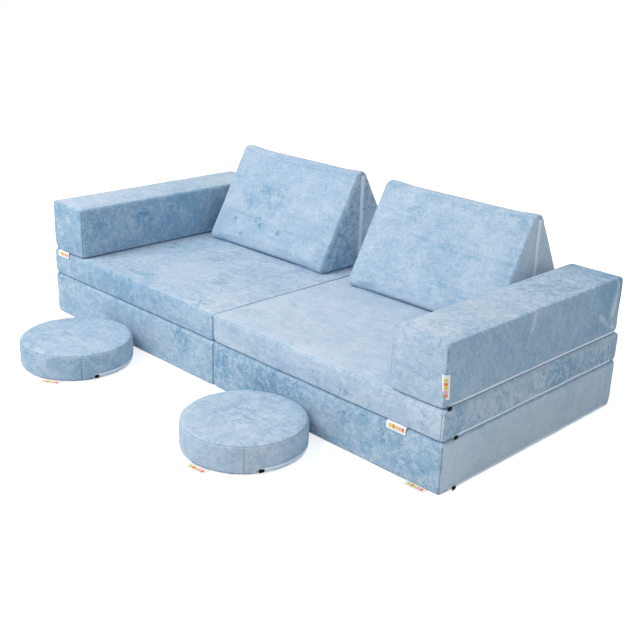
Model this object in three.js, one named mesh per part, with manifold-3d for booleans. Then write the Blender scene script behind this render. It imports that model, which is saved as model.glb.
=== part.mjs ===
// A modular foam play sofa: two folding mattresses, two arm blocks, two wedge backs and two round cushions.
// Millimetres, +X to the sitter's left (the viewer's right), +Y to the back, +Z up.
// The origin is on the floor under the middle of the whole set.
import * as THREE from "three";
import { mergeVertices } from "three/addons/utils/BufferGeometryUtils.js";
import Module from "manifold-3d";

const wasm = await Module();
wasm.setup();

// Mattresses: each is two equal halves that a sewn hinge joins
const halfLength = 750;
const mattressDepth = 700;
const baseThickness = 125;
const seatThickness = 75;
const mattressSwell = 3;
const hingeRound = 4;
const foldGap = 0.3;
const bindingDiameter = 1.7;

// Arm blocks
const armWidth = 150;
const armHeight = 147;
const armSwell = 3;

// Wedge backs: side by side they leave this much of the seat between the arms free
const backSlack = 200;
const backLength = halfLength - armWidth - backSlack / 2;
const backBase = 318;
const backHeight = 282;
const backApexRound = 24;
const backFootRound = 16;
const backSwell = 5;
const backEndSwell = 1.5;

// Round cushions
const roundDiameter = 296;
const roundThickness = 70;
const roundRimRound = 8;
const roundSwell = 3;

// Covers and cores
const cornerRound = 14;
const edgeRound = 12;
const coverWall = 2;
const coreClearance = 0.5;
const restGap = 0.3;

// Zips and their sliders
const zipWidth = 10.4;
const zipSink = 0.6;
const backZipStandOut = 0.9;
const cutOverrun = 5;
const zipCoreGap = 0.3;
const zipRise = 12;
const zipSlotGap = 0.3;
const mattressZipEnd = 30;
const armZipEnd = 14;
const backZipFoot = 24;
const backZipHead = 34;
const sliderLength = 13;
const sliderWidth = 9;
const sliderTailWidth = 6;
const sliderPlate = 1.8;
const sliderBridgeLength = 6;
const sliderBridgeWidth = 3;
const sliderBridgeHeight = 1.6;
const sliderRide = 0.3;
const sliderEndGap = 0.7;

// Sewn-in labels
const labelLength = 56;
const labelWidth = 21;
const labelThickness = 0.8;
const labelTuck = 50;
const labelLift = 1.6;

// Places of the backs: the gap to the arm, as a share of the free room, and the overhang behind the seat
const backLeftGapShare = 0.255;
const backRightGapShare = 0.205;
const backLeftOverhang = 54;
const backRightOverhang = 48;

// Places of the rounds, seen from the front: across from the middle, and the gap to the front face.
// The turns are in degrees: the side seam from +X, then the label and the zip from that seam.
const roundLeftPlace = { across: -376, gap: 25, seamTurn: -28, labelTurn: -31 };
const roundRightPlace = { across: 300, gap: 7, seamTurn: -41, labelTurn: -42 };
const roundZipTurn = 12;
const roundZipSweep = 180;

// Places of the labels: from the outer end of their cushion, or up from its underside
const seatLabelInset = 122;
const baseLabelInset = 56;
const armLabelInset = 48;
const armLabelRise = 53;

// Fineness of the faceted surfaces
const cornerSteps = 4;
const apexSteps = 6;
const rimSteps = 3;
const roundSteps = 44;
const coreRoundSteps = 24;
const arcSteps = 20;
const labelTurnSteps = 3;
const bindingSides = 8;
const sideShares = [0.25, 0.5, 0.75];
const stationShares = [0.2, 0.5, 0.8];
const capShares = [0.66, 0.33];

// Materials
const velour = new THREE.MeshStandardMaterial({ color: 0xa6c0d9, roughness: 0.92, metalness: 0 });
const foam = new THREE.MeshStandardMaterial({ color: 0xefe6cf, roughness: 0.95, metalness: 0 });
const zipTape = new THREE.MeshStandardMaterial({ color: 0xa9cbe0, roughness: 0.6, metalness: 0 });
const blackMetal = new THREE.MeshStandardMaterial({ color: 0x121416, roughness: 0.4, metalness: 0.6 });
const labelCloth = new THREE.MeshStandardMaterial({ color: 0xf3f3f1, roughness: 0.8, metalness: 0 });
const binding = new THREE.MeshStandardMaterial({ color: 0x8fb0cc, roughness: 0.85, metalness: 0 });

// The swept directions: outline u, outline v and sweep w, in the cushion's own axes
const alongX = new THREE.Matrix4().makeBasis(
  new THREE.Vector3(0, 1, 0),
  new THREE.Vector3(0, 0, 1),
  new THREE.Vector3(1, 0, 0),
);
const alongY = new THREE.Matrix4().makeBasis(
  new THREE.Vector3(0, 0, 1),
  new THREE.Vector3(1, 0, 0),
  new THREE.Vector3(0, 1, 0),
);
const alongZ = new THREE.Matrix4();

function solidOf(geometry) {
  const bare = geometry.clone();
  bare.deleteAttribute("normal");
  bare.deleteAttribute("uv");
  const merged = mergeVertices(bare, 1e-4);
  const mesh = new wasm.Mesh({
    numProp: 3,
    vertProperties: merged.attributes.position.array,
    triVerts: new Uint32Array(merged.index.array),
  });
  return new wasm.Manifold(mesh);
}

function geometryOf(solid) {
  const mesh = solid.getMesh();
  const geometry = new THREE.BufferGeometry();
  geometry.setAttribute("position", new THREE.BufferAttribute(mesh.vertProperties, 3));
  geometry.setIndex(new THREE.BufferAttribute(mesh.triVerts, 1));
  return geometry;
}

// The outline round a ring of circles, anticlockwise: an arc at each, then the straight side to the next.
// free[i] says whether the side that leaves circle i may swell, and shares where its inner points lie.
function outlineRound(circles, free, shares) {
  const sides = circles.map((a, i) => {
    const b = circles[(i + 1) % circles.length];
    const run = Math.hypot(b.u - a.u, b.v - a.v);
    const du = (b.u - a.u) / run;
    const dv = (b.v - a.v) / run;
    const lean = (a.radius - b.radius) / run;
    const square = Math.sqrt(1 - lean * lean);
    return { nu: du * lean + dv * square, nv: dv * lean - du * square };
  });
  const points = [];
  circles.forEach((circle, i) => {
    const before = sides[(i + circles.length - 1) % circles.length];
    const after = sides[i];
    const from = Math.atan2(before.nv, before.nu);
    const turn = (Math.atan2(after.nv, after.nu) - from + 4 * Math.PI) % (2 * Math.PI);
    for (let k = 0; k <= circle.steps; k++) {
      const angle = from + (turn * k) / circle.steps;
      const nu = Math.cos(angle);
      const nv = Math.sin(angle);
      points.push({ u: circle.u + circle.radius * nu, v: circle.v + circle.radius * nv, nu, nv, give: 0 });
    }
    if (!free[i]) return;
    const next = circles[(i + 1) % circles.length];
    const start = { u: circle.u + circle.radius * after.nu, v: circle.v + circle.radius * after.nv };
    const end = { u: next.u + next.radius * after.nu, v: next.v + next.radius * after.nv };
    for (const share of shares) {
      const give = 1 - (2 * share - 1) ** 2;
      const u = start.u + (end.u - start.u) * share;
      const v = start.v + (end.v - start.v) * share;
      points.push({ u, v, nu: after.nu, nv: after.nv, give });
    }
  });
  return points;
}

function circleOutline(radius, steps) {
  return Array.from({ length: steps }, (_, i) => {
    const angle = (2 * Math.PI * i) / steps;
    const nu = Math.cos(angle);
    const nv = Math.sin(angle);
    return { u: radius * nu, v: radius * nv, nu, nv, give: 1 };
  });
}

// A soft block: the outline swept from w = 0 to w = length, drawn in round a rim at each end.
// Between the rims the free sides swell, and each end is crowned by its own swell.
function softBlock({ outline, length, rims, swell, endSwells, steps, stations }) {
  const rings = [];
  for (let k = 0; k <= steps; k++) {
    const angle = (Math.PI / 2) * (k / steps);
    rings.push({ w: rims[0] * (1 - Math.cos(angle)), inset: rims[0] * (1 - Math.sin(angle)) });
  }
  const run = length - rims[0] - rims[1];
  for (const share of stations) {
    rings.push({ w: rims[0] + run * share, inset: -swell * (1 - (2 * share - 1) ** 2) });
  }
  for (let k = steps; k >= 0; k--) {
    const angle = (Math.PI / 2) * (k / steps);
    rings.push({ w: length - rims[1] * (1 - Math.cos(angle)), inset: rims[1] * (1 - Math.sin(angle)) });
  }
  const count = outline.length;
  const positions = [];
  for (const ring of rings) {
    for (const p of outline) {
      const out = ring.inset < 0 ? -ring.inset * p.give : -ring.inset;
      positions.push(p.u + p.nu * out, p.v + p.nv * out, ring.w);
    }
  }
  const triangles = [];
  for (let r = 0; r < rings.length - 1; r++) {
    for (let i = 0; i < count; i++) {
      const a = r * count + i;
      const b = r * count + ((i + 1) % count);
      triangles.push(a, b, a + count, b, b + count, a + count);
    }
  }
  closeEnd(positions, triangles, 0, count, -endSwells[0], false);
  closeEnd(positions, triangles, rings.length - 1, count, endSwells[1], true);
  const geometry = new THREE.BufferGeometry();
  geometry.setAttribute("position", new THREE.Float32BufferAttribute(positions, 3));
  geometry.setIndex(triangles);
  return geometry;
}

// Closes a ring of points with smaller rings towards its middle and one point there, raised by the crown.
function closeEnd(positions, triangles, ring, count, crown, facesUp) {
  let edge = ring * count;
  const rim = positions.slice(3 * edge, 3 * (edge + count));
  const middle = [0, 1, 2].map((axis) => {
    let sum = 0;
    for (let i = 0; i < count; i++) sum += rim[3 * i + axis];
    return sum / count;
  });
  for (const share of crown ? capShares : []) {
    const first = positions.length / 3;
    for (let i = 0; i < count; i++) {
      for (let axis = 0; axis < 3; axis++) {
        const raised = axis === 2 ? crown * (1 - share * share) : 0;
        positions.push(middle[axis] + (rim[3 * i + axis] - middle[axis]) * share + raised);
      }
    }
    for (let i = 0; i < count; i++) {
      const next = (i + 1) % count;
      const quad = [edge + i, edge + next, first + i, edge + next, first + next, first + i];
      addTriangles(triangles, quad, facesUp);
    }
    edge = first;
  }
  const centre = positions.length / 3;
  positions.push(middle[0], middle[1], middle[2] + crown);
  for (let i = 0; i < count; i++) {
    addTriangles(triangles, [edge + i, edge + ((i + 1) % count), centre], facesUp);
  }
}

function addTriangles(triangles, corners, facesUp) {
  for (let i = 0; i < corners.length; i += 3) {
    const [a, b, c] = corners.slice(i, i + 3);
    triangles.push(a, facesUp ? b : c, facesUp ? c : b);
  }
}

// One cushion's form at a given depth under its outer surface: 0 for the cover's face, more for its core.
function block({ width, height, length, rims, swell, endSwells, free, matrix, depth }) {
  const fine = depth === 0;
  const radius = cornerRound - depth;
  const steps = fine ? cornerSteps : 1;
  const u = width / 2 - cornerRound;
  const circles = [
    { u: -u, v: cornerRound, radius, steps },
    { u, v: cornerRound, radius, steps },
    { u, v: height - cornerRound, radius, steps },
    { u: -u, v: height - cornerRound, radius, steps },
  ];
  const outline = outlineRound(circles, free.map((side) => side && fine), sideShares);
  return sweptForm({ outline, length, rims, swell, endSwells, matrix, depth });
}

function wedge({ depth }) {
  const fine = depth === 0;
  const u = backBase / 2 - backFootRound;
  const foot = { v: backFootRound, radius: backFootRound - depth, steps: fine ? cornerSteps : 1 };
  const apexHeight = backHeight - backApexRound;
  const apex = { u: 0, v: apexHeight, radius: backApexRound - depth, steps: fine ? apexSteps : 1 };
  const circles = [{ ...foot, u: -u }, { ...foot, u }, apex];
  const outline = outlineRound(circles, [false, fine, fine], sideShares);
  return sweptForm({
    outline,
    length: backLength,
    rims: [edgeRound, edgeRound],
    swell: backSwell,
    endSwells: [backEndSwell, backEndSwell],
    matrix: alongX,
    depth,
  });
}

function roundPad({ depth }) {
  const outline = circleOutline(roundDiameter / 2 - depth, depth === 0 ? roundSteps : coreRoundSteps);
  return sweptForm({
    outline,
    length: roundThickness,
    rims: [edgeRound, roundRimRound],
    swell: roundSwell,
    endSwells: [0, roundSwell],
    matrix: alongZ,
    depth,
  });
}

function sweptForm({ outline, length, rims, swell, endSwells, matrix, depth }) {
  const fine = depth === 0;
  const geometry = softBlock({
    outline,
    length: length - 2 * depth,
    rims: rims.map((rim) => Math.max(rim - depth, coreClearance)),
    swell: fine ? swell : 0,
    endSwells: fine ? endSwells : [0, 0],
    steps: fine ? rimSteps : 1,
    stations: fine ? stationShares : [],
  });
  return geometry.translate(0, 0, depth).applyMatrix4(matrix);
}

// The cover is the outer form less its hollow and less the slot for its zip; the core fills the hollow.
function coverAndCore(form, slot) {
  const outer = solidOf(form(0));
  const hollow = solidOf(form(coverWall));
  const cover = outer.subtract(hollow).subtract(solidOf(slot));
  return { cover: geometryOf(cover), core: form(coverWall + coreClearance) };
}

function box(size, centre) {
  return new THREE.BoxGeometry(...size).translate(...centre);
}

// A straight zip and its slot, lying along +X at the origin and facing +Z; z = 0 is the cushion's face.
function straightZip(length, standOut) {
  const slotFloor = coverWall + coreClearance;
  const floor = slotFloor - zipCoreGap;
  return {
    zip: box([length, zipWidth, floor + standOut], [0, 0, (standOut - floor) / 2]),
    slot: box(
      [length + 2 * zipSlotGap, zipWidth + 2 * zipSlotGap, slotFloor + cutOverrun],
      [0, 0, (cutOverrun - slotFloor) / 2],
    ),
  };
}

// An arc zip on a round cushion's side, from angle 0 on, with its middle at z = 0.
function arcZip(radius) {
  const sweep = THREE.MathUtils.degToRad(roundZipSweep);
  const slotTurn = zipSlotGap / radius;
  const floor = coverWall + coreClearance - zipCoreGap;
  return {
    zip: sector(radius - floor, radius - zipSink, 0, sweep, zipWidth),
    slot: sector(
      radius - coverWall - coreClearance,
      radius + cutOverrun,
      -slotTurn,
      sweep + slotTurn,
      zipWidth + 2 * zipSlotGap,
    ),
  };
}

function sector(inner, outer, from, to, width) {
  const shape = new THREE.Shape();
  shape.absarc(0, 0, outer, from, to, false);
  shape.absarc(0, 0, inner, to, from, true);
  const settings = { depth: width, bevelEnabled: false, curveSegments: arcSteps };
  return new THREE.ExtrudeGeometry(shape, settings).translate(0, 0, -width / 2);
}

// A zip slider: a plate that narrows to its tail, with a low bridge for a pull. Its nose points to -X.
function zipSlider() {
  const shape = new THREE.Shape();
  const noseReach = sliderLength / 2;
  const tailReach = sliderLength / 2;
  const neck = sliderLength / 8;
  shape.moveTo(-noseReach, -sliderWidth / 3);
  shape.lineTo(-noseReach + neck, -sliderWidth / 2);
  shape.lineTo(0, -sliderWidth / 2);
  shape.lineTo(tailReach, -sliderTailWidth / 2);
  shape.lineTo(tailReach, sliderTailWidth / 2);
  shape.lineTo(0, sliderWidth / 2);
  shape.lineTo(-noseReach + neck, sliderWidth / 2);
  shape.lineTo(-noseReach, sliderWidth / 3);
  shape.closePath();
  const plate = new THREE.ExtrudeGeometry(shape, { depth: sliderPlate, bevelEnabled: false });
  const bridge = box(
    [sliderBridgeLength, sliderBridgeWidth, sliderBridgeHeight + sliderPlate],
    [0, 0, (sliderBridgeHeight + sliderPlate) / 2],
  );
  return geometryOf(solidOf(plate).add(solidOf(bridge)));
}

// A strip of cloth: the route in the u-v plane is thickened and runs across the label's length.
function bentStrip(route, length) {
  const normals = route.map((point, i) => {
    const before = route[Math.max(i - 1, 0)];
    const after = route[Math.min(i + 1, route.length - 1)];
    const run = Math.hypot(after[0] - before[0], after[1] - before[1]);
    return [-(after[1] - before[1]) / run, (after[0] - before[0]) / run];
  });
  const side = (sign) =>
    route.map((point, i) => new THREE.Vector2(
      point[0] + (sign * normals[i][0] * labelThickness) / 2,
      point[1] + (sign * normals[i][1] * labelThickness) / 2,
    ));
  const shape = new THREE.Shape([...side(-1), ...side(1).reverse()]);
  const settings = { depth: length, bevelEnabled: false };
  return new THREE.ExtrudeGeometry(shape, settings).translate(0, 0, -length / 2);
}

// A point of a label near its seam: just off a rounded edge whose circle has this middle.
function offEdge(middle, radius, degrees) {
  const reach = radius + restGap + labelThickness / 2;
  const angle = THREE.MathUtils.degToRad(degrees);
  return [middle[0] + reach * Math.cos(angle), middle[1] + reach * Math.sin(angle)];
}

// A label that hangs from the seam under a front face: x is back, y is up, and the face's edge is round.
function hangingLabel(edge) {
  const route = [
    offEdge([edge, edge], edge, 180 + labelTuck),
    [-labelLift, -labelThickness],
    [-labelLift - labelThickness / 2, -labelWidth / 2],
    [-labelLift - labelThickness, -labelWidth],
  ];
  return bentStrip(route, labelLength).applyMatrix4(alongX);
}

// A label that lies on the floor in front of the seam that holds it: x is back, y is up.
function floorLabel(edge) {
  const low = restGap + labelThickness / 2;
  const route = [
    offEdge([edge, edge], edge, 180 + labelTuck),
    [-labelWidth / 3, low + labelThickness],
    [-labelWidth, low],
  ];
  return bentStrip(route, labelLength).applyMatrix4(alongX);
}

// A label that stands on end and is folded back round a corner: x is out to the side, y is back.
function cornerLabel(edge) {
  const route = [];
  for (let k = labelTurnSteps; k >= 0; k--) {
    const turn = 90 + (labelTuck * k) / labelTurnSteps;
    const [back, out] = offEdge([edge, -edge], edge, turn);
    route.push([out, back]);
  }
  route.push([labelThickness + restGap, labelWidth]);
  return bentStrip(route, labelLength);
}

function mesh(name, geometry, material) {
  const made = new THREE.Mesh(geometry, material);
  made.name = name;
  return made;
}

// Seats a flat-lying piece on a cushion's face: its +X goes to run, and out is where the face looks.
function seat(made, run, out, place) {
  const x = new THREE.Vector3(...run);
  const z = new THREE.Vector3(...out);
  const y = new THREE.Vector3().crossVectors(z, x);
  made.quaternion.setFromRotationMatrix(new THREE.Matrix4().makeBasis(x, y, z));
  made.position.set(...place);
  return made;
}

// A cushion with a straight zip. The zip's place is on the cushion's face; the slider stands at its start.
function zippedCushion({ name, form, zipRun, zipOut, zipPlace, zipLength, zipStandOut }) {
  const group = new THREE.Group();
  const parts = straightZip(zipLength, zipStandOut);
  const slotMesh = seat(new THREE.Mesh(parts.slot), zipRun, zipOut, zipPlace);
  slotMesh.updateMatrix();
  const { cover, core } = coverAndCore(form, parts.slot.clone().applyMatrix4(slotMesh.matrix));
  group.add(mesh(name + "_foam", core, foam));
  group.add(mesh(name + "_cover", cover, velour));
  group.add(seat(mesh(name + "_zip", parts.zip, zipTape), zipRun, zipOut, zipPlace));
  const back = sliderLength / 2 + sliderEndGap - zipLength / 2;
  const sliderPlace = zipPlace.map(
    (value, axis) => value + zipRun[axis] * back + zipOut[axis] * (sliderRide + zipStandOut),
  );
  group.add(seat(mesh(name + "_zip_slider", zipSlider(), blackMetal), zipRun, zipOut, sliderPlace));
  return group;
}

// One half of a folding mattress, with its hinge edge at x = 0 and its outer end towards side (1 or -1).
function mattressHalf(name, thickness, side) {
  const rims = side > 0 ? [hingeRound, edgeRound] : [edgeRound, hingeRound];
  const endSwells = side > 0 ? [0, mattressSwell] : [mattressSwell, 0];
  const start = side > 0 ? foldGap / 2 : -halfLength;
  const length = halfLength - foldGap / 2;
  const shape = {
    width: mattressDepth,
    height: thickness,
    length,
    rims,
    swell: mattressSwell,
    endSwells,
    free: [false, true, false, true],
    matrix: alongX,
  };
  const form = (depth) => block({ ...shape, depth }).translate(start, mattressDepth / 2, 0);
  return zippedCushion({
    name,
    form,
    zipRun: [0, 1, 0],
    zipOut: [side, 0, 0],
    zipPlace: [side * halfLength, mattressDepth / 2, zipRise],
    zipLength: mattressDepth - 2 * mattressZipEnd,
    zipStandOut: -zipSink,
  });
}

function armBlock(name, side) {
  const shape = {
    width: armWidth,
    height: armHeight,
    length: mattressDepth,
    rims: [edgeRound, edgeRound],
    swell: armSwell,
    endSwells: [armSwell, armSwell],
    matrix: alongY,
  };
  const form = (depth) => armForm(shape, depth);
  return zippedCushion({
    name,
    form,
    zipRun: [0, 1, 0],
    zipOut: [side, 0, 0],
    zipPlace: [(side * armWidth) / 2, mattressDepth / 2, zipRise],
    zipLength: mattressDepth - 2 * armZipEnd,
    zipStandOut: -zipSink,
  });
}

// The arm's outline stands on its side: u is up and v is across, so its width and height change places.
function armForm(shape, depth) {
  const turned = { ...shape, width: shape.height, height: shape.width, free: [true, true, true, false] };
  return block({ ...turned, depth }).translate(-armWidth / 2, 0, armHeight / 2);
}

function backWedge(name) {
  const zipLength = backHeight - backZipFoot - backZipHead;
  const form = (depth) => wedge({ depth }).translate(-backLength / 2, backBase / 2, 0);
  return zippedCushion({
    name,
    form,
    zipRun: [0, 0, 1],
    zipOut: [1, 0, 0],
    zipPlace: [backLength / 2, backBase / 2, backZipFoot + zipLength / 2],
    zipLength,
    zipStandOut: backZipStandOut,
  });
}

function roundCushion(name, place) {
  const group = new THREE.Group();
  const radius = roundDiameter / 2;
  const parts = arcZip(radius);
  const turn = THREE.MathUtils.degToRad(place.seamTurn + roundZipTurn);
  const placed = (geometry) => geometry.rotateZ(turn).translate(0, 0, zipRise);
  const form = (depth) => roundPad({ depth });
  const { cover, core } = coverAndCore(form, placed(parts.slot));
  group.add(mesh(name + "_foam", core, foam));
  group.add(mesh(name + "_cover", cover, velour));
  group.add(mesh(name + "_zip", placed(parts.zip), zipTape));
  const sliderTurn = turn + (sliderLength / 2 + sliderEndGap) / radius;
  const out = [Math.cos(sliderTurn), Math.sin(sliderTurn), 0];
  const run = [-Math.sin(sliderTurn), Math.cos(sliderTurn), 0];
  const reach = radius - zipSink + sliderRide;
  const slider = mesh(name + "_zip_slider", zipSlider(), blackMetal);
  group.add(seat(slider, run, out, [out[0] * reach, out[1] * reach, zipRise]));
  const labelTurn = place.seamTurn + place.labelTurn;
  const label = floorLabel(edgeRound).translate(0, -radius, 0);
  label.rotateZ(THREE.MathUtils.degToRad(labelTurn + 90));
  group.add(mesh(name + "_label", label, labelCloth));
  group.position.set(place.across, -radius - place.gap, 0);
  return group;
}

// The sewn hinge between two halves: a thin binding that lies in the groove along the fold.
function foldBinding(name, height) {
  const length = mattressDepth - 2 * cornerRound;
  const radius = bindingDiameter / 2;
  const cord = new THREE.CylinderGeometry(radius, radius, length, bindingSides);
  const made = mesh(name, cord, binding);
  made.position.set(0, mattressDepth / 2, height);
  return made;
}

// The whole set, built from the front face of the sofa and then centred
const sofa = new THREE.Group();
const seatFloor = baseThickness + restGap;
const seatTop = seatFloor + seatThickness;
const cushionFloor = seatTop + restGap;

const base = new THREE.Group();
base.add(mattressHalf("base_left", baseThickness, -1));
base.add(mattressHalf("base_right", baseThickness, 1));
base.add(foldBinding("base_hinge", bindingDiameter / 2));
const baseLabel = mesh("base_right_label", floorLabel(cornerRound), labelCloth);
baseLabel.position.set(halfLength - baseLabelInset, 0, 0);
base.add(baseLabel);
sofa.add(base);

const seatMattress = new THREE.Group();
seatMattress.add(mattressHalf("seat_left", seatThickness, -1));
seatMattress.add(mattressHalf("seat_right", seatThickness, 1));
seatMattress.add(foldBinding("seat_hinge", seatThickness - bindingDiameter / 2));
const seatLabel = mesh("seat_right_label", hangingLabel(cornerRound), labelCloth);
seatLabel.position.set(halfLength - seatLabelInset, 0, 0);
seatMattress.add(seatLabel);
seatMattress.position.set(0, 0, seatFloor);
sofa.add(seatMattress);

const armLeft = armBlock("arm_left", -1);
armLeft.position.set(armWidth / 2 - halfLength, 0, cushionFloor);
const armLeftLabel = mesh("arm_left_label", hangingLabel(edgeRound), labelCloth);
armLeftLabel.position.set(armLabelInset - armWidth / 2, 0, 0);
armLeft.add(armLeftLabel);
sofa.add(armLeft);

const armRight = armBlock("arm_right", 1);
armRight.position.set(halfLength - armWidth / 2, 0, cushionFloor);
const armRightLabel = mesh("arm_right_label", cornerLabel(edgeRound), labelCloth);
armRightLabel.position.set(armWidth / 2, 0, armLabelRise);
armRight.add(armRightLabel);
sofa.add(armRight);

const backReach = halfLength - armWidth - backLength / 2;
const backStart = mattressDepth - backBase;
const backLeft = backWedge("back_left");
const backLeftAcross = backSlack * backLeftGapShare - backReach;
backLeft.position.set(backLeftAcross, backStart + backLeftOverhang, cushionFloor);
sofa.add(backLeft);

const backRight = backWedge("back_right");
const backRightAcross = backReach - backSlack * backRightGapShare;
backRight.position.set(backRightAcross, backStart + backRightOverhang, cushionFloor);
sofa.add(backRight);

sofa.add(roundCushion("round_left", roundLeftPlace));
sofa.add(roundCushion("round_right", roundRightPlace));

// Centre the set front to back: the rounds reach furthest forward and the wedges furthest back
const frontmost = -roundDiameter - roundLeftPlace.gap - roundSwell;
const rearmost = mattressDepth + backLeftOverhang;
sofa.position.set(0, -(frontmost + rearmost) / 2, 0);

const root = new THREE.Group();
root.add(sofa);
export default root;
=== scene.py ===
import math

import bpy
import numpy as np
from mathutils import Matrix, Vector, noise


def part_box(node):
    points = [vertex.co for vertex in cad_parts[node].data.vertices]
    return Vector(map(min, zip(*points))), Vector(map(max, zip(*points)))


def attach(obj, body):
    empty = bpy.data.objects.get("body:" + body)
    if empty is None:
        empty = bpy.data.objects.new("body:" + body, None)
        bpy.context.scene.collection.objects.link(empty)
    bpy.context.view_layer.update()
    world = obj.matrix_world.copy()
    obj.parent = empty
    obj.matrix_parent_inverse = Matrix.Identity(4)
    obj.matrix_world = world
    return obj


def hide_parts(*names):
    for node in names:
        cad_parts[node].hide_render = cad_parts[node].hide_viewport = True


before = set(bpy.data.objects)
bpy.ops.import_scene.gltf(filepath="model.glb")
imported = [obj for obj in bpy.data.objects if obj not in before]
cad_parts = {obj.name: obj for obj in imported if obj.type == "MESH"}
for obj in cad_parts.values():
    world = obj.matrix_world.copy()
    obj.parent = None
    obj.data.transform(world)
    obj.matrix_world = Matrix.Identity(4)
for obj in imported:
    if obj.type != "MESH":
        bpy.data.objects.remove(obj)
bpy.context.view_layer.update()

# The base mattress: two foam halves, 125 mm thick, in covers of short-pile velour.
# Each cover is one cross-shaped panel, folded down over top and sides and sewn up at the four corners,
# with a bottom panel sewn in all round. The zip lies in that bottom seam.
mm = 0.001
mattress_swell = 1.5 * mm
end_reach = 4 * mm
top_round = 10 * mm
corner_round = 8 * mm
foot_edge_round = 3.5 * mm
hinge_round = 4 * mm
loop_step = 8 * mm
seam_groove = 3.5 * mm
seam_depth = 1.2 * mm
seam_pull = 22 * mm
drawn_in = 0.6 * mm
pucker_size = 16 * mm
swell_frames = 20
zip_rise = 6.6 * mm
zip_bed = 1.3 * mm
zip_bed_fade = 4 * mm
narrow_tape = 3.3 * mm


def pick(*chosen):
    """Selects these objects alone, with the first one active."""
    bpy.ops.object.select_all(action="DESELECT")
    for made in chosen:
        made.select_set(True)
    bpy.context.view_layer.objects.active = chosen[0]


def add_shape(name, operator, scale=(1, 1, 1), **given):
    """Adds a shape by a primitive's operator, with its place, turn and scale in its mesh."""
    bpy.ops.object.select_all(action="DESELECT")
    operator(**given)
    made = bpy.context.active_object
    made.name = made.data.name = name
    made.scale = scale
    bpy.ops.object.transform_apply(location=True, rotation=True, scale=True)
    return made


def add_block(name, low, high):
    """A cube at a cushion's size and place."""
    return add_shape(name, bpy.ops.mesh.primitive_cube_add, high - low, size=1, location=(low + high) / 2)


def edit(made, operator, **given):
    """Runs an edit operator on the whole mesh."""
    pick(made)
    bpy.ops.object.mode_set(mode="EDIT")
    bpy.ops.mesh.select_all(action="SELECT")
    operator(**given)
    bpy.ops.object.mode_set(mode="OBJECT")


def finish(made, kind, **settings):
    """Adds a modifier with its settings and applies it."""
    modifier = made.modifiers.new(kind.title(), kind)
    for name, value in settings.items():
        setattr(modifier, name, value)
    pick(made)
    bpy.ops.object.modifier_apply(modifier=modifier.name)


def round_edges(made, radius_of, segments=4, clamped=False):
    """Rounds each edge by its own radius: radius_of gets the edge's middle and its direction's axis."""
    mesh = made.data
    radii = []
    for edge in mesh.edges:
        a, b = (mesh.vertices[i].co for i in edge.vertices)
        along = [abs(v) for v in (b - a)]
        radii.append(radius_of((a + b) / 2, along.index(max(along))))
    weights = mesh.attributes.new("bevel_weight_edge", "FLOAT", "EDGE")
    weights.data.foreach_set("value", [r / max(radii) for r in radii])
    finish(
        made, "BEVEL", width=max(radii), segments=segments, limit_method="WEIGHT", use_clamp_overlap=clamped
    )


def cut_loops(made, axis, step):
    """Cuts even loops across the long edges that run along one axis."""
    mesh = made.data
    bpy.ops.object.mode_set(mode="EDIT")
    bpy.ops.mesh.select_mode(type="EDGE")
    bpy.ops.mesh.select_all(action="DESELECT")
    bpy.ops.object.mode_set(mode="OBJECT")
    longest = 0
    for edge in mesh.edges:
        a, b = (mesh.vertices[i].co for i in edge.vertices)
        run = abs((b - a)[axis])
        edge.select = run > 2 * step and run > 0.99 * (b - a).length
        if edge.select:
            longest = max(longest, run)
    bpy.ops.object.mode_set(mode="EDIT")
    bpy.ops.mesh.subdivide(number_cuts=min(100, round(longest / step) - 1))
    bpy.ops.object.mode_set(mode="OBJECT")


def points_of(made, kind="co"):
    values = np.empty(3 * len(made.data.vertices))
    made.data.vertices.foreach_get(kind, values)
    return values.reshape(-1, 3)


def set_points(made, co):
    made.data.vertices.foreach_set("co", np.ascontiguousarray(co, float).ravel())
    made.data.update()


def keep(made, name, values):
    """Keeps a number or a vector at each point, which the velour and the labels read."""
    kind, field = ("FLOAT_VECTOR", "vector") if values.ndim > 1 else ("FLOAT", "value")
    kept = made.data.attributes.new(name, kind, "POINT")
    kept.data.foreach_set(field, values.astype(np.float32).ravel())


def swell_cover(made, pressure, slack, cap, held):
    """Fills the cover like a padded pad: cloth under pressure, with no gravity.
    slack is the extra cloth, cap the furthest that a point may move, and held how firmly each one is held."""
    rest = points_of(made)
    group = made.vertex_groups.new(name="sewn")
    for level in np.unique(np.round(held, 2)):
        if level > 0:
            group.add(np.flatnonzero(np.round(held, 2) == level).tolist(), float(level), "REPLACE")
    cloth = made.modifiers.new("Cover", "CLOTH")
    for name, value in {
        "quality": 4, "mass": 0.3, "tension_stiffness": 12, "compression_stiffness": 12, "shear_stiffness": 4,
        "bending_stiffness": 0.3, "use_pressure": True, "uniform_pressure_force": pressure,
        "shrink_min": -slack, "vertex_group_mass": group.name,
    }.items():
        setattr(cloth.settings, name, value)
    cloth.settings.effector_weights.gravity = 0
    cloth.collision_settings.use_collision = False
    cloth.point_cache.frame_start = 1
    cloth.point_cache.frame_end = swell_frames
    for step in range(1, swell_frames + 1):
        bpy.context.scene.frame_set(step)
    pick(made)
    bpy.ops.object.modifier_apply(modifier=cloth.name)
    bpy.context.scene.frame_set(1)
    moved = points_of(made) - rest
    far = np.linalg.norm(moved, axis=1, keepdims=True)
    set_points(made, rest + moved * np.minimum(1, cap / np.maximum(far, 1e-9)))


def smooth_step(value, start, end):
    t = np.clip((value - start) / (end - start), 0, 1)
    return t * t * (3 - 2 * t)


def noise_at(co, size, seed):
    """Smooth noise, about -1 to 1, with features of the given size (three sizes for a stretched pattern)."""
    scaled = co / np.asarray(size) + np.array([seed * 7.3, seed * 3.1, seed * 5.7])
    return np.array([noise.noise(Vector(p)) for p in scaled])


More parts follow.
